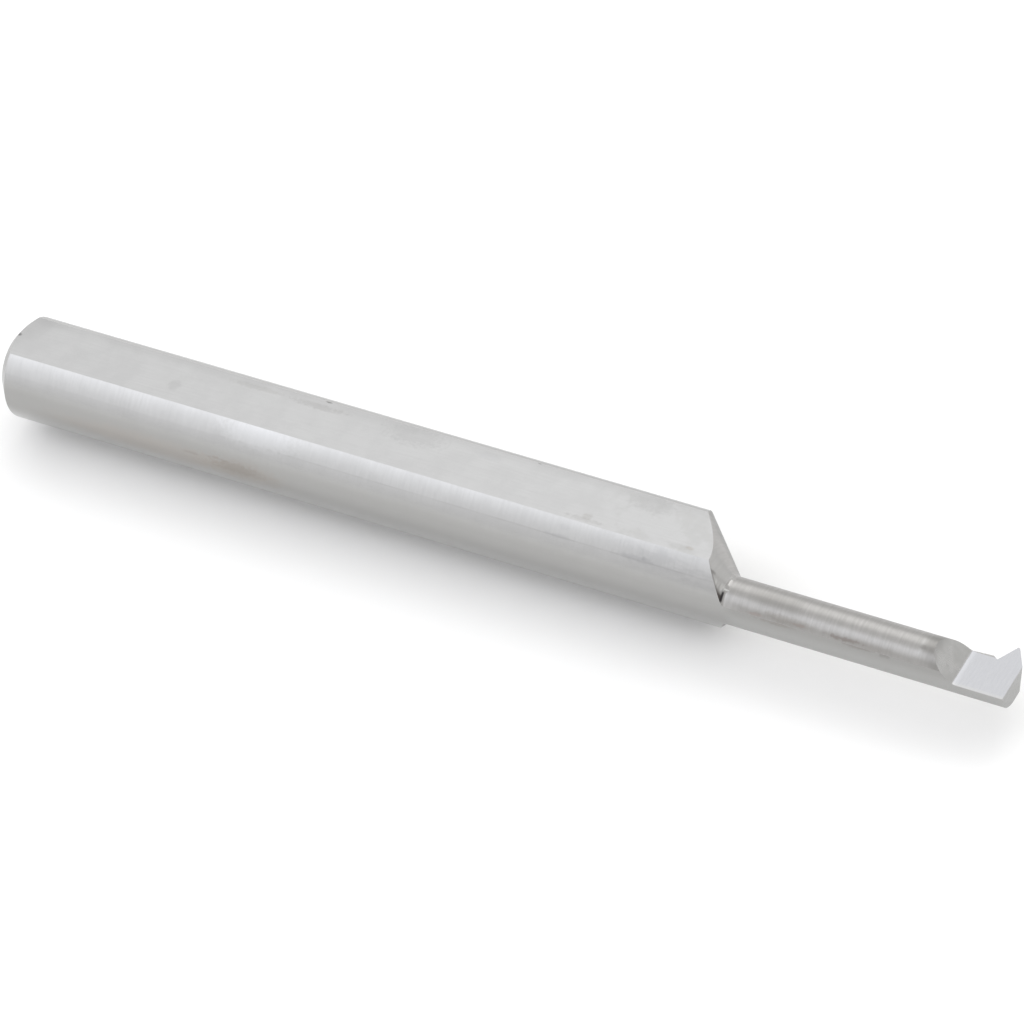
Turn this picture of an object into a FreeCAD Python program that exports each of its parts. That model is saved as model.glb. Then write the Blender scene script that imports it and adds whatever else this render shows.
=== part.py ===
import FreeCAD, Part

import math
import os

# Internal threading tool: a solid carbide bar with a full-length flat on its
# round shank, a slim neck set to one side, and a single 60 degree thread point.
# Millimetres. Origin on the shank's axis at the rear face, +X runs to the tip,
# +Z is square to the flat and to the rake face, +Y is the side the point cuts on.

# Shank
shank_diameter = 4.7625
overall_length = 50.8
flat_depth = 0.37
rear_chamfer_length = 0.58
rear_chamfer_depth = 0.69

# Neck and the conical shoulder that leads down to it
neck_diameter = 2.14
neck_reach = 13.3
back_overlap = 0.08
shoulder_angle = 45.0
neck_root_radius = 0.25

# Head: ramp, rake face and thread point
rake_length = 2.36
ramp_angle = 45.0
rake_root_radius = 0.6
thread_angle = 60.0
point_reach = 0.575
crest_width = 0.085
point_setback = 0.58
notch_depth = 0.05
notch_wall_angle = 34.0
land_length = 1.6
land_rise = 0.1
land_bevel = 45.0
relief_angle = 23.5

# Room that a cutting tool takes past the work, so that no cut ends on a face
past = 1.0

shank_radius = shank_diameter / 2
flat_height = shank_radius - flat_depth
neck_radius = neck_diameter / 2
neck_start = overall_length - neck_reach
neck_side = -(shank_radius + back_overlap - neck_radius)
neck_top = neck_side + neck_radius
neck_back = neck_side - neck_radius
rake_start = overall_length - rake_length
X_AXIS = FreeCAD.Vector(1, 0, 0)


def point(x, y, z):
    return FreeCAD.Vector(x, y, z)


def closed_face(points):
    return Part.Face(Part.makePolygon(points + [points[0]]))


def rounded_corner(before, corner, after, radius):
    """Arc tangent to both legs of a corner, with its two end points."""
    leg_in = (before - corner).normalize()
    leg_out = (after - corner).normalize()
    half_turn = leg_in.getAngle(leg_out) / 2
    room = min((before - corner).Length, (after - corner).Length)
    setback = min(radius / math.tan(half_turn), room)
    radius = setback * math.tan(half_turn)
    middle_line = (leg_in + leg_out).normalize()
    centre = corner + middle_line * (radius / math.sin(half_turn))
    start = corner + leg_in * setback
    end = corner + leg_out * setback
    arc = Part.Arc(start, centre - middle_line * radius, end)
    return start, arc, end


def shank_blank():
    """Round bar with its chamfered rear end, as long as the whole tool."""
    outline = closed_face([
        point(0, 0, 0),
        point(0, shank_radius - rear_chamfer_depth, 0),
        point(rear_chamfer_length, shank_radius, 0),
        point(overall_length, shank_radius, 0),
        point(overall_length, 0, 0),
    ])
    return outline.revolve(point(0, 0, 0), X_AXIS, 360)


def above_flat():
    """What the surface grinder takes off to leave the flat."""
    return Part.makeBox(
        overall_length + 2 * past,
        2 * shank_diameter,
        flat_depth + past,
        point(-past, -shank_diameter, flat_height),
    )


def neck_envelope():
    """Solid round the neck's own axis: the neck, its rounded root and the cone."""
    wide = 2 * shank_diameter
    cone_length = (wide - neck_radius) / math.tan(math.radians(shoulder_angle))
    cone_end = neck_start - cone_length
    rear = min(cone_end, 0) - past
    axis_rear = point(rear, neck_side, 0)
    wide_rear = point(rear, neck_side - wide, 0)
    cone_rim = point(cone_end, neck_side - wide, 0)
    root = point(neck_start, neck_back, 0)
    neck_front = point(overall_length + past, neck_back, 0)
    axis_front = point(overall_length + past, neck_side, 0)
    start, arc, end = rounded_corner(cone_rim, root, neck_front, neck_root_radius)
    outline = Part.Wire([
        Part.makeLine(axis_rear, wide_rear),
        Part.makeLine(wide_rear, cone_rim),
        Part.makeLine(cone_rim, start),
        arc.toBSpline().toShape(),
        Part.makeLine(end, neck_front),
        Part.makeLine(neck_front, axis_front),
        Part.makeLine(axis_front, axis_rear),
    ])
    return Part.Face(outline).revolve(axis_rear, X_AXIS, 360)


def thread_profile():
    """Edge line in the rake plane, from the notch's rear lip round to the end face."""
    flank_run = math.tan(math.radians(thread_angle / 2))
    crest = overall_length - point_setback
    half_crest = crest_width / 2
    notch_floor = neck_top - notch_depth
    lip_height = neck_top + land_rise
    flank_foot = crest - half_crest - (point_reach - notch_floor) * flank_run
    wall_run = (lip_height - notch_floor) / math.tan(math.radians(notch_wall_angle))
    front_drop = (point_setback - half_crest + past) / flank_run
    return [
        point(flank_foot - wall_run, lip_height, 0),
        point(flank_foot, notch_floor, 0),
        point(crest - half_crest, point_reach, 0),
        point(crest + half_crest, point_reach, 0),
        point(overall_length + past, point_reach - front_drop, 0),
    ]


def leaning_prism(points, top, bottom, angle):
    """Prism of a rake-plane outline that leans back under its edges by an angle."""
    lean = math.tan(math.radians(angle))
    lifted = [p + point(0, top * lean, top) for p in points]
    drop = top - bottom
    return closed_face(lifted).extrude(point(0, -drop * lean, -drop))


def land():
    """Low ridge that rises from the neck, behind the notch, to the notch's lip."""
    lip = thread_profile()[0]
    foot = thread_profile()[1]
    slope = land_rise / land_length
    tail = point(lip.x - 2 * land_length, lip.y - 2 * land_length * slope, 0)
    outline = [
        tail,
        lip,
        point(foot.x, lip.y, 0),
        point(foot.x, neck_side, 0),
        point(tail.x, neck_side, 0),
    ]
    return leaning_prism(outline, 0, -3 * land_rise, land_bevel)


def tooth_blank():
    """Block that the thread point is ground from, level with the neck underneath."""
    foot = thread_profile()[1]
    return Part.makeBox(
        overall_length - foot.x,
        point_reach + past - neck_side,
        neck_radius,
        point(foot.x, neck_side, -neck_radius),
    )


def outside_thread():
    """What the profile wheel takes off: all that lies outside the edge line."""
    profile = thread_profile()
    high = point_reach + shank_diameter
    outline = profile + [
        point(profile[-1].x, high, 0),
        point(profile[0].x, high, 0),
    ]
    return leaning_prism(outline, past, -shank_radius, relief_angle)


def above_rake():
    """What the ramp and rake face are ground out of, with a rounded root between."""
    height = neck_radius + past
    ramp_run = height / math.tan(math.radians(ramp_angle))
    ramp_top = point(rake_start - ramp_run, -shank_diameter, height)
    root = point(rake_start, -shank_diameter, 0)
    rake_end = point(overall_length + past, -shank_diameter, 0)
    top_end = point(overall_length + past, -shank_diameter, height)
    start, arc, end = rounded_corner(ramp_top, root, rake_end, rake_root_radius)
    outline = Part.Wire([
        Part.makeLine(ramp_top, start),
        arc.toShape(),
        Part.makeLine(end, rake_end),
        Part.makeLine(rake_end, top_end),
        Part.makeLine(top_end, ramp_top),
    ])
    return Part.Face(outline).extrude(point(0, 2 * shank_diameter, 0))


def threading_bar():
    """The whole tool, ground from one round carbide blank."""
    blank = shank_blank()
    necked = blank.common(neck_envelope())
    headed = necked.fuse([tooth_blank(), land()]).common(blank)
    profiled = headed.cut(outside_thread())
    ground = profiled.cut(above_rake()).cut(above_flat())
    return ground.removeSplitter()


os.makedirs("parts", exist_ok=True)
shape = threading_bar()
shape = shape.Solids[0] if len(shape.Solids) == 1 else shape
shape.exportStep("parts/threading_bar.step")
print("solids", len(shape.Solids), "valid", shape.isValid(), "volume", round(shape.Volume, 3))
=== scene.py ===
import math

import bmesh
import bpy
from mathutils import Matrix, Vector


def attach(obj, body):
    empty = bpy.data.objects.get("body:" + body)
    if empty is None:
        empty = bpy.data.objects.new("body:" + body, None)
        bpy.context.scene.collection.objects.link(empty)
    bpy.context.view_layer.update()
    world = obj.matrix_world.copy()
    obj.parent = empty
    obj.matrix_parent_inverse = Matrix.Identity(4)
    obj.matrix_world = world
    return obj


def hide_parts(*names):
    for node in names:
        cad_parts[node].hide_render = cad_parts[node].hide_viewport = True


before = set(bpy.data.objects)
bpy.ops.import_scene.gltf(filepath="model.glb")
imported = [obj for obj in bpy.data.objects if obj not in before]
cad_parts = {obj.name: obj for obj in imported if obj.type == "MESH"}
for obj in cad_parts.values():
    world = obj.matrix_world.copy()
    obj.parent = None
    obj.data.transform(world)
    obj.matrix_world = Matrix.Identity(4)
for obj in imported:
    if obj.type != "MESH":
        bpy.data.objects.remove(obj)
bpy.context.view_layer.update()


# The shank is a centreless-ground rod of solid carbide, broken at its rear end
# by a wide chamfer. Fine wheel marks run round it. The whole tool is ground
# from this one rod, so every later section takes metal off the same mesh.

shank_radius = 2.38125
overall_length = 50.8
rear_chamfer_length = 0.58
rear_chamfer_depth = 0.69
neck_reach = 13.3
neck_start = overall_length - neck_reach
shank_steps = 360
millimetre = 0.001

ROUND, FLAT, NECK, RAMP, RAKE, RELIEF = range(6)
finishes = {}


class Level:
    """A value that varies from place to place; an expression on it adds its Math nodes."""

    def __init__(self, nodes, socket):
        self.nodes = nodes
        self.socket = socket

    def reckon(self, operation, first, second):
        return self.nodes.node("ShaderNodeMath", {"operation": operation}, {0: first, 1: second})

    def __add__(self, other):
        return self.reckon("ADD", self, other)

    def __radd__(self, other):
        return self.reckon("ADD", other, self)

    def __sub__(self, other):
        return self.reckon("SUBTRACT", self, other)

    def __rsub__(self, other):
        return self.reckon("SUBTRACT", other, self)

    def __mul__(self, other):
        return self.reckon("MULTIPLY", self, other)

    def __rmul__(self, other):
        return self.reckon("MULTIPLY", other, self)

    def __pow__(self, other):
        return self.reckon("POWER", self, other)


class Nodes:
    """A node tree that takes sums and mixes written as expressions."""

    def node(self, kind, settings, inputs, output=0):
        made = self.tree.nodes.new(kind)
        for name, value in settings.items():
            setattr(made, name, value)
        for name, value in inputs.items():
            if isinstance(value, Level):
                self.tree.links.new(value.socket, made.inputs[name])
            else:
                made.inputs[name].default_value = value
        return Level(self, made.outputs[output])

    def rise(self, value, low, high):
        """0 below low and 1 above high, with a smooth step between them."""
        return self.node(
            "ShaderNodeMapRange", {"interpolation_type": "SMOOTHSTEP"},
            {"Value": value, "From Min": low, "From Max": high}, "Result")

    def between(self, value, low, high, soft):
        """1 from low to high and 0 outside, with smooth steps of a width."""
        return self.rise(value, low - soft, low + soft) * (1 - self.rise(value, high - soft, high + soft))


class Finish(Nodes):
    """One ground finish: a metal whose colour, roughness and wheel marks are built up in nodes."""

    def __init__(self, name, sheen, sheen_turn):
        self.material = bpy.data.materials.new(name)
        self.material.use_nodes = True
        self.tree = self.material.node_tree
        self.metal = self.tree.nodes["Principled BSDF"]
        self.metal.inputs["Metallic"].default_value = 1.0
        self.metal.inputs["Anisotropic"].default_value = sheen
        self.metal.inputs["Anisotropic Rotation"].default_value = sheen_turn
        object_place = self.node("ShaderNodeTexCoord", {}, {}, "Object")
        self.place = self.node(
            "ShaderNodeVectorMath", {"operation": "SCALE"},
            {0: object_place, "Scale": 1 / millimetre}, "Vector")
        split = self.tree.nodes.new("ShaderNodeSeparateXYZ")
        self.tree.links.new(self.place.socket, split.inputs[0])
        self.side = Level(self, split.outputs["X"])
        self.height = Level(self, split.outputs["Y"])
        self.along = Level(self, split.outputs["Z"])

    def stretched(self, side, height, along):
        """The place on the tool with each direction scaled, for marks that run one way."""
        return self.node(
            "ShaderNodeVectorMath", {"operation": "MULTIPLY"},
            {0: self.place, 1: (side, height, along)}, "Vector")

    def noise(self, place, scale, detail=2.0, rough=0.5):
        return self.node(
            "ShaderNodeTexNoise", {},
            {"Vector": place, "Scale": scale, "Detail": detail, "Roughness": rough}, "Fac")

    def around(self, axis_side):
        """Degrees round an axis along the bar, from straight up toward the back."""
        turn = self.node(
            "ShaderNodeMath", {"operation": "ARCTAN2"}, {0: axis_side - self.side, 1: self.height})
        return turn * math.degrees(1)

    def patch(self, middle, size, ragged=0.0):
        """1 round a place (along, side, height) and 0 beyond a size each way, with an uneven rim."""
        away = self.node(
            "ShaderNodeVectorMath", {"operation": "SUBTRACT"},
            {0: self.place, 1: (middle[1], middle[2], middle[0])}, "Vector")
        scaled = self.node(
            "ShaderNodeVectorMath", {"operation": "DIVIDE"},
            {0: away, 1: (size[1], size[2], size[0])}, "Vector")
        distance = self.node("ShaderNodeVectorMath", {"operation": "LENGTH"}, {0: scaled}, "Value")
        rim = self.noise(self.place, 5.0, 3.0, 0.6)
        return 1 - self.rise(distance + (rim - 0.5) * ragged, 0.35, 1.0)

    def mixed(self, mask, first, second):
        """A colour that goes from the first to the second as the mask goes from 0 to 1."""
        made = self.tree.nodes.new("ShaderNodeMix")
        made.data_type = "RGBA"
        self.tree.links.new(mask.socket, made.inputs["Factor"])
        for name, value in (("A", first), ("B", second)):
            socket = next(s for s in made.inputs if s.name == name and s.type == "RGBA")
            if isinstance(value, Level):
                self.tree.links.new(value.socket, socket)
            else:
                socket.default_value = (*value, 1.0)
        return Level(self, next(s for s in made.outputs if s.type == "RGBA"))

    def stains_and_highlights(self, tone, stain_and_highlight_patches):
        """The tone with patches over it, each a place, a size, how ragged, how strong and a colour; most
        are real discolouring, some painted highlights.
        """
        for middle, size, ragged, strength, patch_colour in stain_and_highlight_patches:
            tone = self.mixed(self.patch(middle, size, ragged) * strength, tone, patch_colour)
        return tone

    def colour(self, value):
        self.tree.links.new(value.socket, self.metal.inputs["Base Color"])

    def roughness(self, value):
        self.tree.links.new(value.socket, self.metal.inputs["Roughness"])

    def marks(self, height, depth):
        """Wheel marks of a real depth in millimetres, for a height that goes from 0 to 1."""
        bump = self.node(
            "ShaderNodeBump", {},
            {"Height": height, "Strength": 1.0, "Distance": depth * millimetre}, "Normal")
        self.tree.links.new(bump.socket, self.metal.inputs["Normal"])


def solid(name, vertices, faces, slots):
    """A closed mesh in millimetres, with a finish for each face."""
    mesh = bpy.data.meshes.new(name)
    mesh.from_pydata([tuple(v) for v in vertices], [], faces)
    mesh.polygons.foreach_set("material_index", slots)
    shell = bmesh.new()
    shell.from_mesh(mesh)
    bmesh.ops.recalc_face_normals(shell, faces=shell.faces)
    shell.to_mesh(mesh)
    shell.free()
    piece = bpy.data.objects.new(name, mesh)
    bpy.context.scene.collection.objects.link(piece)
    return piece


def turned(name, outline, axis_side, steps, slots):
    """A solid of revolution: an outline of (along, radius) from axis to axis."""
    vertices = [Vector((outline[0][0], axis_side, 0))]
    for along, radius in outline[1:-1]:
        for step in range(steps):
            angle = math.tau * step / steps
            vertices.append(Vector((
                along, axis_side + radius * math.cos(angle), radius * math.sin(angle))))
    vertices.append(Vector((outline[-1][0], axis_side, 0)))
    faces = []
    face_slots = []
    rings = len(outline) - 2
    for ring in range(rings + 1):
        for step in range(steps):
            following = (step + 1) % steps
            inner = [1 + (ring - 1) * steps + step, 1 + (ring - 1) * steps + following]
            outer = [1 + ring * steps + step, 1 + ring * steps + following]
            if ring == 0:
                faces.append((0, outer[0], outer[1]))
            elif ring == rings:
                faces.append((inner[0], inner[1], len(vertices) - 1))
            else:
                faces.append((inner[0], inner[1], outer[1], outer[0]))
            face_slots.append(slots[ring])
    return solid(name, vertices, faces, face_slots)


def prism(name, near_end, far_end, side_slots, end_slot):
    """A solid between two outlines with the same number of points."""
    count = len(near_end)
    faces = [tuple(range(count)), tuple(range(count, 2 * count))]
    slots = [end_slot, end_slot]
    for i in range(count):
        j = (i + 1) % count
        faces.append((i, j, count + j, count + i))
        slots.append(side_slots[i])
    return solid(name, near_end + far_end, faces, slots)


def ground(work, shape, operation):
    """Takes a shape off the work, joins it on, or keeps what both share; then clears it away."""
    step = work.modifiers.new("grinding", "BOOLEAN")
    step.operation = operation
    step.solver = "EXACT"
    step.object = shape
    scene_now = bpy.context.evaluated_depsgraph_get()
    mesh = bpy.data.meshes.new_from_object(work.evaluated_get(scene_now))
    work.modifiers.clear()
    spent = [work.data, shape.data]
    work.data = mesh
    bpy.data.objects.remove(shape)
    for old in spent:
        bpy.data.meshes.remove(old)


def rod():
    """The round blank with its chamfered rear end, as long as the whole tool."""
    return turned("rod", [
        (0, 0),
        (0, shank_radius - rear_chamfer_depth),
        (rear_chamfer_length, shank_radius),
        (overall_length, shank_radius),
        (overall_length, 0),
    ], 0, shank_steps, [ROUND, ROUND, ROUND, RELIEF])


finish = Finish("centreless_ground_carbide", sheen=0.5, sheen_turn=0.0)
rings = finish.noise(finish.stretched(0.9, 0.9, 13.0), 1.0, 4.0, 0.65)
blotches = finish.noise(finish.place, 0.9, 4.0, 0.6)
turn = finish.around(0.0)
tone = finish.mixed(finish.rise(blotches, 0.3, 0.7), (0.492, 0.489, 0.482), (0.466, 0.463, 0.456))
tone = finish.mixed(finish.rise(rings, 0.3, 0.75) * 0.45, tone, (0.432, 0.429, 0.422))
# Painted shade: the round is darker on its near side, round its middle height.
near_side_shade = finish.rise(turn, 56, 76) * (1 - finish.rise(turn, 92, 114))
tone = finish.mixed(near_side_shade * 0.85, tone, (0.36, 0.357, 0.35))
# Painted shade: the strip of round just beyond the flat's far edge is darker, more so toward the front.
far_rim_shade = finish.rise(turn, -75, -52) * (1 - finish.rise(turn, -35.5, -32.5))
far_rim_shade_strength = 0.8 + finish.rise(finish.along, 15, 32) * 0.2
tone = finish.mixed(far_rim_shade * far_rim_shade_strength, tone, (0.275, 0.275, 0.273))
chamfer = 1 - finish.rise(finish.along, rear_chamfer_length - 0.08, rear_chamfer_length + 0.04)
# Painted shade: the rear chamfer is much darker than the round.
tone = finish.mixed(chamfer, tone, (0.19, 0.189, 0.186))
# Painted light: the chamfer is lighter again on its near side.
near_chamfer_light = chamfer * finish.rise(turn, 68, 86) * (1 - finish.rise(turn, 120, 150))
tone = finish.mixed(near_chamfer_light, tone, (0.33, 0.328, 0.322))
# A fine dark line runs along the near side of the shank from about 12 mm on, stronger toward the front and
# patchy.
long_dark_line = finish.between(turn, 52.8, 54.2, 0.7) * finish.rise(finish.along, 11.5, 12.5)
smudges = finish.noise(finish.stretched(2.0, 2.0, 0.8), 1.0, 4.0, 0.65)
line_strength = 0.2 + finish.rise(finish.along, 24, 30) * 0.1 + finish.rise(smudges, 0.4, 0.65) * 0.2
tone = finish.mixed(long_dark_line * line_strength, tone, (0.36, 0.355, 0.345))
# Painted shade: a band just below that line is a little darker.
below_line_shade = finish.rise(turn, 53.4, 54.8) * (1 - finish.rise(turn, 57, 67))
tone = finish.mixed(below_line_shade * 0.15, tone, (0.36, 0.357, 0.35))
handled = finish.patch((36.8, -1.65, 1.71), (6.0, 1.4, 1.4), 0.5)
handled_strength = 0.08 + finish.rise(smudges, 0.4, 0.62) * 0.2
tone = finish.mixed(handled * handled_strength, tone, (0.29, 0.29, 0.292))
below_neck = finish.rise(finish.along, neck_start - 0.1, neck_start + 0.7)
# Painted shade and light: on the round left under the neck, the part above its middle height is much
# darker and the part below it lighter than the shank's near side.
tone = finish.mixed(below_neck * (1 - finish.rise(turn, 76, 94)) * 0.9, tone, (0.33, 0.326, 0.318))
tone = finish.mixed(below_neck * finish.rise(turn, 80, 98), tone, (0.428, 0.427, 0.419))
tone = finish.stains_and_highlights(tone, [
    ((8.5, -2.35, -0.1), (7.5, 0.8, 0.8), 1.0, 0.24, (0.42, 0.36, 0.31)),
    ((13.2, -2.30, 0.0), (3.2, 0.7, 0.85), 1.3, 0.3, (0.35, 0.305, 0.265)),
    ((13.1, -2.35, 0.1), (1.7, 0.5, 0.42), 1.5, 0.28, (0.22, 0.20, 0.175)),
    ((12.0, -2.33, 0.37), (0.8, 0.5, 0.1), 1.2, 0.2, (0.2, 0.18, 0.16)),
    ((10.6, -2.36, 0.25), (0.6, 0.5, 0.1), 1.1, 0.2, (0.2, 0.18, 0.16)),
    ((14.0, -1.58, 1.78), (2.6, 0.8, 0.8), 1.0, 0.5, (0.56, 0.56, 0.56)),
    ((33.6, -1.83, 1.52), (0.16, 0.14, 0.14), 0.8, 0.38, (0.26, 0.26, 0.265)),
    ((33.3, -1.89, 1.45), (1.1, 0.2, 0.16), 1.3, 0.30, (0.3, 0.3, 0.305)),
    ((29.4, -1.90, 1.43), (0.9, 0.2, 0.12), 1.3, 0.25, (0.3, 0.3, 0.305)),
    ((29.6, -1.59, 1.77), (0.4, 0.2, 0.2), 0.9, 0.12, (0.3, 0.3, 0.3)),
    ((40.2, -2.34, 0.46), (1.2, 0.2, 0.13), 1.2, 0.38, (0.23, 0.21, 0.19)),
    ((44.0, -2.33, 0.50), (0.9, 0.25, 0.13), 1.6, 0.38, (0.21, 0.19, 0.175)),
    ((45.3, -2.34, 0.46), (0.42, 0.25, 0.13), 1.2, 0.38, (0.2, 0.19, 0.18)),
])
rear_face = 1 - finish.rise(finish.along, 0.002, 0.02)
tone = finish.mixed(rear_face, tone, (0.45, 0.447, 0.44))
finish.colour(tone)
finish.roughness(0.17 + rings * 0.05 + blotches * 0.03)
finish.marks(rings, depth=0.0003)
finishes[ROUND] = finish.material


# The flat is ground the full length of the shank on a surface grinder, so its
# fine marks run lengthwise. A holder's screw bears on it.

flat_depth = 0.37
flat_height = shank_radius - flat_depth
room = 1.0

finish = Finish("surface_ground_flat", sheen=0.4, sheen_turn=0.25)
grain = finish.noise(finish.stretched(12.0, 12.0, 0.35), 1.0, 4.0, 0.6)
cloud = finish.noise(finish.place, 0.8, 4.0, 0.6)
tone = finish.mixed(finish.rise(cloud, 0.35, 0.7), (0.484, 0.485, 0.488), (0.461, 0.462, 0.465))
tone = finish.mixed(finish.rise(grain, 0.3, 0.8) * 0.5, tone, (0.45, 0.45, 0.452))
front_cloud = finish.rise(finish.along, 30, 32) * finish.rise(cloud, 0.45, 0.6)
tone = finish.mixed(front_cloud * 0.4, tone, (0.43, 0.43, 0.425))
far_edge = finish.rise(finish.side + cloud * 0.3, 0.85, 1.4)
tone = finish.mixed(far_edge * 0.2, tone, (0.3, 0.3, 0.3))
# Painted shade: the flat is darker toward its rear end.
rear_end_shade = 1 - finish.rise(finish.along - finish.side * 0.8, 0.2, 1.6)
tone = finish.mixed(rear_end_shade * 0.25, tone, (0.3, 0.3, 0.3))
tone = finish.stains_and_highlights(tone, [
    ((8.85, -0.34, flat_height), (0.42, 0.45, 1.0), 0.9, 0.20, (0.30, 0.30, 0.30)),
    ((16.12, 1.25, flat_height), (0.22, 0.07, 1.0), 0.6, 0.6, (0.10, 0.10, 0.10)),
    ((15.8, 0.85, flat_height), (1.9, 0.24, 1.0), 1.7, 0.30, (0.28, 0.275, 0.27)),
    ((12.5, 0.90, flat_height), (1.9, 0.2, 1.0), 1.7, 0.2, (0.28, 0.275, 0.26)),
    ((30.4, -0.86, flat_height), (0.36, 0.26, 1.0), 0.9, 0.26, (0.29, 0.28, 0.26)),
    ((30.3, -1.06, flat_height), (1.3, 0.17, 1.0), 1.7, 0.22, (0.29, 0.28, 0.27)),
    ((35.5, -0.95, flat_height), (0.28, 0.13, 1.0), 0.9, 0.3, (0.33, 0.29, 0.25)),
    ((35.0, -1.02, flat_height), (0.9, 0.2, 1.0), 1.4, 0.18, (0.30, 0.30, 0.29)),
    ((24.6, 0.85, flat_height), (0.8, 0.32, 1.0), 1.1, 0.12, (0.30, 0.30, 0.32)),
    ((20.8, 0.80, flat_height), (2.0, 0.8, 1.0), 1.3, 0.24, (0.30, 0.30, 0.30)),
    ((32.7, 0.85, flat_height), (1.5, 0.7, 1.0), 1.5, 0.25, (0.30, 0.30, 0.30)),
    ((26.9, 1.26, flat_height), (0.12, 0.06, 1.0), 0.0, 0.5, (0.15, 0.15, 0.15)),
    ((0.32, -0.02, flat_height), (0.14, 0.12, 1.0), 0.6, 0.7, (0.12, 0.12, 0.12)),
])
finish.colour(tone)
finish.roughness(0.2 + grain * 0.05 + cloud * 0.04)
finish.marks(grain, depth=0.0003)
finishes[FLAT] = finish.material


# The neck is ground round its own axis, set well to the back of the shank so
# that the bar fits inside a small bore. A cone of the same wheel, with a small
# rounded root, leads down to it and keeps the bar stiff.

neck_radius = 1.07
back_overlap = 0.08
shoulder_angle = math.radians(45)
neck_root_radius = 0.25
neck_steps = 288
root_steps = 8
rake_length = 2.36
rake_start = overall_length - rake_length
neck_side = -(shank_radius + back_overlap - neck_radius)
neck_top = neck_side + neck_radius
glancing_shine = (0.8, 0.8, 0.8, 1)


def rounded_corner(before, corner, after, radius, steps):
    """Points of an arc that is tangent to both legs of a corner."""
    leg_in = (before - corner).normalized()
    leg_out = (after - corner).normalized()
    half_turn = leg_in.angle(leg_out) / 2
    middle_line = (leg_in + leg_out).normalized()
    centre = corner + middle_line * (radius / math.sin(half_turn))
    start = corner + leg_in * (radius / math.tan(half_turn)) - centre
    end = corner + leg_out * (radius / math.tan(half_turn)) - centre
    return [centre + start.slerp(end, i / steps).normalized() * radius for i in range(steps + 1)]


def neck_envelope():
    """A solid round the neck's own axis: the neck, its rounded root and the cone."""
    wide = 3 * shank_radius
    cone_end = neck_start - (wide - neck_radius) / math.tan(shoulder_angle)
    front = overall_length + room
    root = rounded_corner(
        Vector((cone_end, wide)), Vector((neck_start, neck_radius)),
        Vector((front, neck_radius)), neck_root_radius, root_steps)
    outline = [(-room, 0), (-room, wide), (cone_end, wide), *[tuple(p) for p in root],
               (front, neck_radius), (front, 0)]
    slots = [NECK] * (len(outline) - 1)
    return turned("threading_bar_ground", outline, neck_side, neck_steps, slots)


finish = Finish("ground_neck_and_cone", sheen=0.5, sheen_turn=0.0)
finish.metal.inputs["Specular Tint"].default_value = glancing_shine
streaks = finish.noise(finish.stretched(0.9, 0.9, 11.0), 1.0, 5.0, 0.7)
wide_streaks = finish.noise(finish.stretched(0.7, 0.7, 2.2), 1.0, 4.0, 0.65)
cloud = finish.noise(finish.place, 1.6, 4.0, 0.6)
turn = finish.around(neck_side)
on_cone = 1 - finish.rise(finish.along, neck_start - 0.1, neck_start + 0.02)
on_neck = finish.rise(finish.along, neck_start + 0.1, neck_start + 1.0)
tone = finish.mixed(finish.rise(streaks, 0.25, 0.75), (0.488, 0.479, 0.47), (0.406, 0.398, 0.389))
tone = finish.mixed(finish.rise(wide_streaks, 0.45, 0.75) * 0.3, tone, (0.37, 0.365, 0.355))
# Painted light: the cone is lighter from its top down its near side.
near_cone_light = on_cone * finish.rise(turn, -36, -18) * (1 - finish.rise(turn, 100, 150))
tone = finish.mixed(near_cone_light * 0.6, tone, (0.505, 0.503, 0.497))
# Painted shade: the cone is darker on its far side.
far_cone_shade = on_cone * finish.rise(turn, -150, -110) * (1 - finish.rise(turn, -72, -44))
tone = finish.mixed(far_cone_shade * 0.85, tone, (0.265, 0.263, 0.258))
uneven_turn = turn + (cloud - 0.5) * 20
# Painted shade: a band down the near side of the neck is darker, with an uneven upper edge.
lower_border_shade = finish.rise(uneven_turn, 36, 52) * (1 - finish.rise(turn, 72, 105)) * 0.38
deep_border_shade = finish.between(uneven_turn, 47, 55, 6) * 0.15
tone = finish.mixed(on_neck * (lower_border_shade + deep_border_shade), tone, (0.27, 0.26, 0.245))
# Painted shade: the first stretch of the neck is darker over its top.
neck_start_shade = finish.between(finish.along, 38.7, 41.1, 0.5) * finish.between(turn, -4, 36, 8)
tone = finish.mixed(neck_start_shade * 0.42, tone, (0.3, 0.292, 0.28))
# Painted shade: the neck darkens just before the ramp's rim.
before_ramp_shade = finish.rise(finish.along + finish.height, rake_start - 0.84, rake_start - 0.14)
tone = finish.mixed(before_ramp_shade * 0.45, tone, (0.22, 0.215, 0.205))
last_ring = finish.between(finish.along, rake_start - 1.7, rake_start - 1.54, 0.08)
# Painted highlight: a light ring over the top of the neck, shortly before the rake.
last_ring_highlight = last_ring * finish.between(turn, -8, 34, 8)
tone = finish.mixed(last_ring_highlight * 0.35, tone, (0.6, 0.6, 0.595))
tone = finish.stains_and_highlights(tone, [
    ((43.4, -2.24, 0.66), (1.0, 0.25, 0.11), 1.8, 0.46, (0.19, 0.155, 0.14)),
    ((39.2, -2.27, 0.61), (0.5, 0.2, 0.08), 1.2, 0.3, (0.32, 0.24, 0.22)),
    ((41.3, -2.23, 0.66), (0.5, 0.2, 0.08), 1.2, 0.3, (0.32, 0.24, 0.22)),
    ((44.4, -2.25, 0.65), (2.0, 0.3, 0.2), 1.4, 0.18, (0.24, 0.215, 0.195)),
    ((40.6, -2.2, 0.7), (1.8, 0.3, 0.25), 1.2, 0.3, (0.22, 0.20, 0.175)),
    ((46.9, -1.70, 1.02), (0.22, 0.16, 0.2), 0.9, 0.35, (0.22, 0.21, 0.20)),
])

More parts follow.
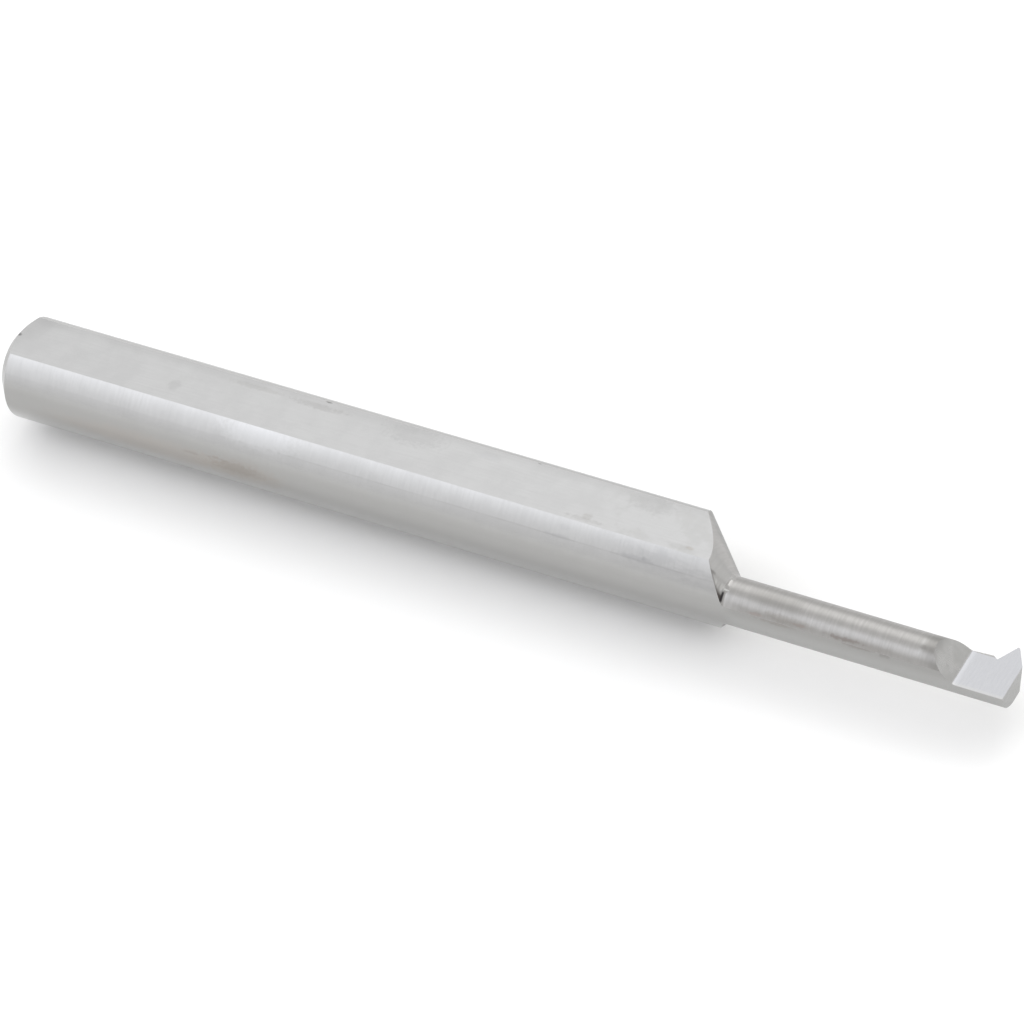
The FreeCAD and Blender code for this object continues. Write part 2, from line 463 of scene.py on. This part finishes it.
# The cone runs out in a corner between shank and neck, and painted shade fills it:
# a near-black pocket and wedge, and dark lines along the root and the shank's edge.
# Bands round the cone are painted lighter and darker, and the rounded root carries
# painted highlights.
shank_distance = (finish.side * finish.side + finish.height * finish.height) ** 0.5
ragged_turn = turn + (cloud - 0.5) * 14
# Painted shade: a dark band round the top of the cone.
arc = on_cone * finish.between(ragged_turn, 5, 10, 4)
tone = finish.mixed(arc * 0.14, tone, (0.22, 0.20, 0.18))
# Painted light: a band on the cone's upper near side is lighter, in streaks.
mottled_light = on_cone * finish.between(ragged_turn, 13, 28, 4) * (0.3 + finish.rise(streaks, 0.35, 0.65) * 0.7)
tone = finish.mixed(mottled_light * 0.7, tone, (0.7, 0.695, 0.68))
dark_streaks = on_cone * finish.between(ragged_turn, 13, 30, 4) * (1 - finish.rise(streaks, 0.4, 0.58))
tone = finish.mixed(dark_streaks * 0.28, tone, (0.2, 0.19, 0.175))
# Painted shade: a dark wedge in the corner.
wedge_shade = finish.patch((36.88, -1.57, 1.66), (0.3, 0.11, 0.15), 1.0)
tone = finish.mixed(wedge_shade * 0.5, tone, (0.16, 0.15, 0.14))
# Painted shade: a near-black pocket where the cone meets the neck on the near side.
pocket_shade = on_cone * finish.rise(ragged_turn, 32, 39) * (1 - finish.rise(turn, 49, 55))
tone = finish.mixed(pocket_shade * 0.85, tone, (0.05, 0.045, 0.043))
# Painted shade: dark lines along the cone's outer edge.
edge_line_shade = on_cone * finish.rise(shank_distance, 2.3, 2.37) * finish.between(ragged_turn, 2, 30, 6)
tone = finish.mixed(edge_line_shade * 0.5, tone, (0.15, 0.14, 0.135))
edge_stroke_shade = on_cone * finish.rise(shank_distance, 2.18, 2.36) * finish.between(ragged_turn, 28, 50, 8)
tone = finish.mixed(edge_stroke_shade * 0.78, tone, (0.085, 0.072, 0.066))
# Painted shade: a near-black line along the root of the neck.
root_line = finish.between(finish.along, neck_start - 0.08, neck_start + 0.01, 0.035)
root_stroke_shade = root_line * finish.between(turn, 27, 51, 4)
tone = finish.mixed(root_stroke_shade * 0.95, tone, (0.03, 0.028, 0.03))
# Painted highlights on the rounded root between cone and neck.
root_highlight_colour = (0.8, 0.8, 0.79)
tone = finish.stains_and_highlights(tone, [
    ((37.38, -1.70, 1.06), (0.08, 0.17, 0.1), 0.6, 0.75, root_highlight_colour),
    ((37.52, -1.77, 1.01), (0.2, 0.06, 0.07), 0.6, 0.75, root_highlight_colour),
    ((37.53, -1.05, 1.01), (0.16, 0.3, 0.2), 0.6, 0.3, root_highlight_colour),
])
finish.colour(tone)
root = finish.between(finish.along, neck_start - 0.06, neck_start + 0.12, 0.03)
finish.roughness(0.25 + streaks * 0.1 - root * 0.14)
finish.marks(streaks * 0.6 + wide_streaks * 0.4, depth=0.001)
finishes[NECK] = finish.material


# The head carries the single thread point. Its top is ground down to the axis
# by a ramp and a flat rake face, and a profile wheel leaves the 60 degree
# point, a notch behind it and the relief that leans back under the edge.

ramp_angle = math.radians(45)
rake_root_radius = 0.6
thread_half_angle = math.radians(30)
point_reach = 0.575
crest_width = 0.085
point_setback = 0.58
notch_depth = 0.05
notch_wall_angle = math.radians(34)
land_length = 1.6
land_rise = 0.1
land_bevel = math.radians(45)
relief_angle = math.radians(23.5)


def thread_profile():
    """Edge line in the rake face: lip, notch floor, two crest corners, and past the end."""
    flank_run = math.tan(thread_half_angle)
    crest = overall_length - point_setback
    half_crest = crest_width / 2
    notch_floor = neck_top - notch_depth
    lip_side = neck_top + land_rise
    flank_foot = crest - half_crest - (point_reach - notch_floor) * flank_run
    wall_run = (lip_side - notch_floor) / math.tan(notch_wall_angle)
    front_drop = (point_setback - half_crest + room) / flank_run
    return [
        Vector((flank_foot - wall_run, lip_side, 0)),
        Vector((flank_foot, notch_floor, 0)),
        Vector((crest - half_crest, point_reach, 0)),
        Vector((crest + half_crest, point_reach, 0)),
        Vector((overall_length + room, point_reach - front_drop, 0)),
    ]


def leaning_prism(name, points, top, bottom, angle, slot):
    """Outline drawn in the rake face, leaning back under its edges by an angle."""
    lean = math.tan(angle)
    upper = [p + Vector((0, top * lean, top)) for p in points]
    lower = [p + Vector((0, bottom * lean, bottom)) for p in points]
    return prism(name, upper, lower, [slot] * len(points), slot)


def land():
    """The low ridge that rises from the neck, behind the notch, to the notch's lip."""
    lip, foot = thread_profile()[:2]
    slope = land_rise / land_length
    tail = Vector((lip.x - 2 * land_length, lip.y - 2 * land_length * slope, 0))
    outline = [tail, lip, Vector((foot.x, lip.y, 0)), Vector((foot.x, neck_side, 0)),
               Vector((tail.x, neck_side, 0))]
    return leaning_prism("land", outline, 0, -3 * land_rise, land_bevel, RELIEF)


def tooth_blank():
    """The block that the thread point is ground from, level with the neck underneath."""
    foot = thread_profile()[1]
    high = point_reach + room
    front = overall_length + room
    corners = [(foot.x, neck_side), (foot.x, high), (front, high), (front, neck_side)]
    return prism(
        "tooth_blank", [Vector((x, y, -neck_radius)) for x, y in corners],
        [Vector((x, y, room / 2)) for x, y in corners], [RELIEF] * 4, RELIEF)


def outside_thread():
    """What the profile wheel takes off: all that lies outside the edge line."""
    profile = thread_profile()
    high = point_reach + 2 * shank_radius
    outline = profile + [Vector((profile[-1].x, high, 0)), Vector((profile[0].x, high, 0))]
    return leaning_prism("profile_wheel_path", outline, room, -shank_radius, relief_angle, RELIEF)


def above_rake():
    """What the ramp and rake face are ground out of, with a rounded root between."""
    height = neck_radius + room
    ramp_run = height / math.tan(ramp_angle)
    front = overall_length + room
    root = rounded_corner(
        Vector((rake_start - ramp_run, height)), Vector((rake_start, 0)),
        Vector((front, 0)), rake_root_radius, root_steps)
    outline = [Vector((rake_start - ramp_run, height)), *root, Vector((front, 0)),
               Vector((front, height))]
    wide = 2 * shank_radius
    half_root = root_steps // 2
    slots = [RAMP] * (1 + half_root) + [RAKE] * (half_root + 3)
    return prism(
        "rake_wheel_path", [Vector((p.x, -wide, p.y)) for p in outline],
        [Vector((p.x, wide, p.y)) for p in outline], slots, RAKE)


def above_flat():
    """What the surface grinder takes off to leave the flat."""
    wide = 2 * shank_radius
    front = overall_length + room
    corners = [(-room, -wide), (-room, wide), (front, wide), (front, -wide)]
    return prism(
        "flat_wheel_path", [Vector((x, y, flat_height)) for x, y in corners],
        [Vector((x, y, shank_radius + room)) for x, y in corners], [FLAT] * 4, FLAT)


tool = neck_envelope()
ground(tool, tooth_blank(), "UNION")
ground(tool, land(), "UNION")
ground(tool, rod(), "INTERSECT")
ground(tool, outside_thread(), "DIFFERENCE")
ground(tool, above_rake(), "DIFFERENCE")
ground(tool, above_flat(), "DIFFERENCE")

finish = Finish("ground_ramp", sheen=0.3, sheen_turn=0.25)
cloud = finish.noise(finish.place, 2.2, 3.0, 0.5)
tone = finish.mixed(finish.rise(cloud, 0.3, 0.7), (0.495, 0.493, 0.487), (0.44, 0.438, 0.43))
# Painted shade: the ramp is darker near its top edge.
tone = finish.mixed(finish.rise(finish.height, 0.75, 1.1) * 0.6, tone, (0.31, 0.305, 0.3))
finish.colour(tone)
finish.roughness(0.24 + cloud * 0.08)
finish.marks(cloud, depth=0.0003)
finishes[RAMP] = finish.material

finish = Finish("lapped_rake_face", sheen=0.3, sheen_turn=0.25)
grain = finish.noise(finish.stretched(2.0, 2.0, 10.0), 1.0, 3.0, 0.6)
tone = finish.mixed(finish.rise(grain, 0.3, 0.7), (0.442, 0.447, 0.467), (0.428, 0.433, 0.452))
# Painted highlight: a lighter band along the rake face's near edge.
near_edge_highlight = 1 - finish.rise(finish.side + grain * 0.1, -2.31, -2.1)
tone = finish.mixed(near_edge_highlight * 0.5, tone, (0.5, 0.5, 0.49))
finish.colour(tone)
finish.roughness(0.15 + grain * 0.05)
finish.marks(grain, depth=0.0002)
finishes[RAKE] = finish.material

finish = Finish("profile_ground_relief", sheen=0.3, sheen_turn=0.0)
grain = finish.noise(finish.stretched(2.0, 2.0, 2.0), 3.0, 3.0, 0.6)
finish.colour(finish.mixed(finish.rise(grain, 0.3, 0.7), (0.396, 0.395, 0.39), (0.36, 0.359, 0.354)))
finish.roughness(0.22 + grain * 0.06)
finish.marks(grain, depth=0.0003)
finishes[RELIEF] = finish.material


# The finished bar is one piece. Its own long axis is its local Z, so that the
# sheen of the ground metal follows the wheel marks round the bar.

sharp_edge = math.radians(20)
shortest_edge = 0.002
along_bar = Matrix(((0, 0, 1), (1, 0, 0), (0, 1, 0))).to_4x4()

shell = bmesh.new()
shell.from_mesh(tool.data)
bmesh.ops.remove_doubles(shell, verts=shell.verts, dist=shortest_edge)
bmesh.ops.dissolve_degenerate(shell, edges=shell.edges, dist=shortest_edge)
shell.to_mesh(tool.data)
shell.free()
tool.data.transform(Matrix.Scale(millimetre, 4) @ along_bar.inverted())
face_slots = [face.material_index for face in tool.data.polygons]
tool.data.materials.clear()
for slot in sorted(finishes):
    tool.data.materials.append(finishes[slot])
tool.data.polygons.foreach_set("material_index", face_slots)
tool.data.shade_smooth()
tool.data.set_sharp_from_angle(angle=sharp_edge)
tool.matrix_world = along_bar
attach(tool, "root")
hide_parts("threading_bar")


# The floor is a plain sheet of pale paper, far wider than the bar. It lies a
# little below it, so that the bar's shadow stays soft.

floor_half = 3.0
floor_gap = 0.6
floor_height = -(shank_radius + floor_gap) * millimetre
mesh = bpy.data.meshes.new("floor")
mesh.from_pydata(
    [(x * floor_half, y * floor_half, floor_height) for x, y in ((-1, -1), (1, -1), (1, 1), (-1, 1))],
    [], [(0, 1, 2, 3)])
floor = bpy.data.objects.new("floor", mesh)
bpy.context.scene.collection.objects.link(floor)
paper = bpy.data.materials.new("pale_sheet")
paper.use_nodes = True
surface = paper.node_tree.nodes["Principled BSDF"]
surface.inputs["Base Color"].default_value = (0.94, 0.94, 0.94, 1)
surface.inputs["Roughness"].default_value = 0.9
surface.inputs["Specular IOR Level"].default_value = 0.1
mesh.materials.append(paper)


# Soft studio light: a wide softbox on each side of the bar, and a weak one
# overhead that whitens the sheet.

bar_middle = Vector((0.028, 0, 0))
watts_per_square_metre = 4


class Panel(Nodes):
    """The glowing front of a softbox."""

    def __init__(self, lamp):
        lamp.use_nodes = True
        self.tree = lamp.node_tree
        split = self.tree.nodes.new("ShaderNodeSeparateXYZ")
        place = self.tree.nodes.new("ShaderNodeNewGeometry")
        self.tree.links.new(place.outputs["Parametric"], split.inputs[0])
        self.across = Level(self, split.outputs["X"])
        self.up = Level(self, split.outputs["Y"])

    def light(self, strength):
        self.tree.links.new(strength.socket, self.tree.nodes["Emission"].inputs["Strength"])


def softbox(name, toward, distance, wide, high, seen_in_metal, colour, glow):
    """A lamp whose glow is a function of the place on its panel, from 0 to 1 each way."""
    lamp = bpy.data.lights.new(name, "AREA")
    lamp.shape = "RECTANGLE"
    lamp.size = wide
    lamp.size_y = high
    lamp.energy = watts_per_square_metre * wide * high
    lamp.color = colour
    panel = Panel(lamp)
    panel.light(glow(panel))
    box = bpy.data.objects.new(name, lamp)
    back = toward.normalized()
    side_up = back.cross(Vector((1, 0, 0))).normalized()
    across = side_up.cross(back).normalized()
    turn = Matrix((across, side_up, back)).transposed()
    box.matrix_world = Matrix.Translation(bar_middle + back * distance) @ turn.to_4x4()
    box.visible_glossy = seen_in_metal
    box.visible_camera = False
    bpy.context.scene.collection.objects.link(box)


white = (1.0, 1.0, 1.0)
daylight = (0.96, 0.99, 1.08)
near_turn = math.radians(56)
toward_near = Vector((-0.42, -0.91 * math.sin(near_turn), 0.91 * math.cos(near_turn)))
softbox(
    "far_softbox", toward=Vector((-0.29, 0.6, 0.8)), distance=0.7, wide=0.89, high=0.45,
    seen_in_metal=True, colour=white,
    glow=lambda panel: 0.12 + panel.across * 1.05 - panel.across * panel.across * 0.4)
softbox(
    "near_softbox", toward=toward_near, distance=0.7, wide=1.1, high=1.0,
    seen_in_metal=True, colour=daylight,
    glow=lambda panel: (0.17 + panel.up ** 1.6 * 0.88) * (1 - panel.rise(panel.across, 0.4, 0.72)))
softbox(
    "tip_softbox", toward=Vector((0.62, 0.68, 0.38)), distance=0.7, wide=0.45, high=0.4,
    seen_in_metal=True, colour=white, glow=lambda panel: 0.1 + 0.05 * panel.up)
softbox(
    "overhead_softbox", toward=Vector((0, 0, 1)), distance=1.0, wide=1.6, high=1.6,
    seen_in_metal=False, colour=white, glow=lambda panel: 0.4 + 0.02 * panel.up)

world = bpy.data.worlds.new("pale_studio")
world.use_nodes = True
sky = world.node_tree.nodes["Background"]
sky.inputs["Color"].default_value = (0.803, 0.8, 0.793, 1)
sky.inputs["Strength"].default_value = 1.0
bpy.context.scene.world = world
bpy.context.scene.view_settings.view_transform = "Standard"


# The camera stands where the photograph's perspective puts it, with a long
# lens and the picture turned a little so that the bar slopes down to the tip.

camera_place = Vector((0.1298729, -0.1425127, 0.1743629))
picture_right = Vector((0.8704923, 0.4742531, -0.1316327))
picture_up = Vector((-0.2579862, 0.6674252, 0.6985605))
lens = 197.834
sensor_width = 36.0
nearest = 0.01
farthest = 20.0

view = bpy.data.cameras.new("camera")
view.lens = lens
view.sensor_width = sensor_width
view.clip_start = nearest
view.clip_end = farthest
camera = bpy.data.objects.new("camera", view)
backward = picture_right.cross(picture_up)
camera.matrix_world = (
    Matrix.Translation(camera_place)
    @ Matrix((picture_right, picture_up, backward)).transposed().to_4x4())
bpy.context.scene.collection.objects.link(camera)
bpy.context.scene.camera = camera
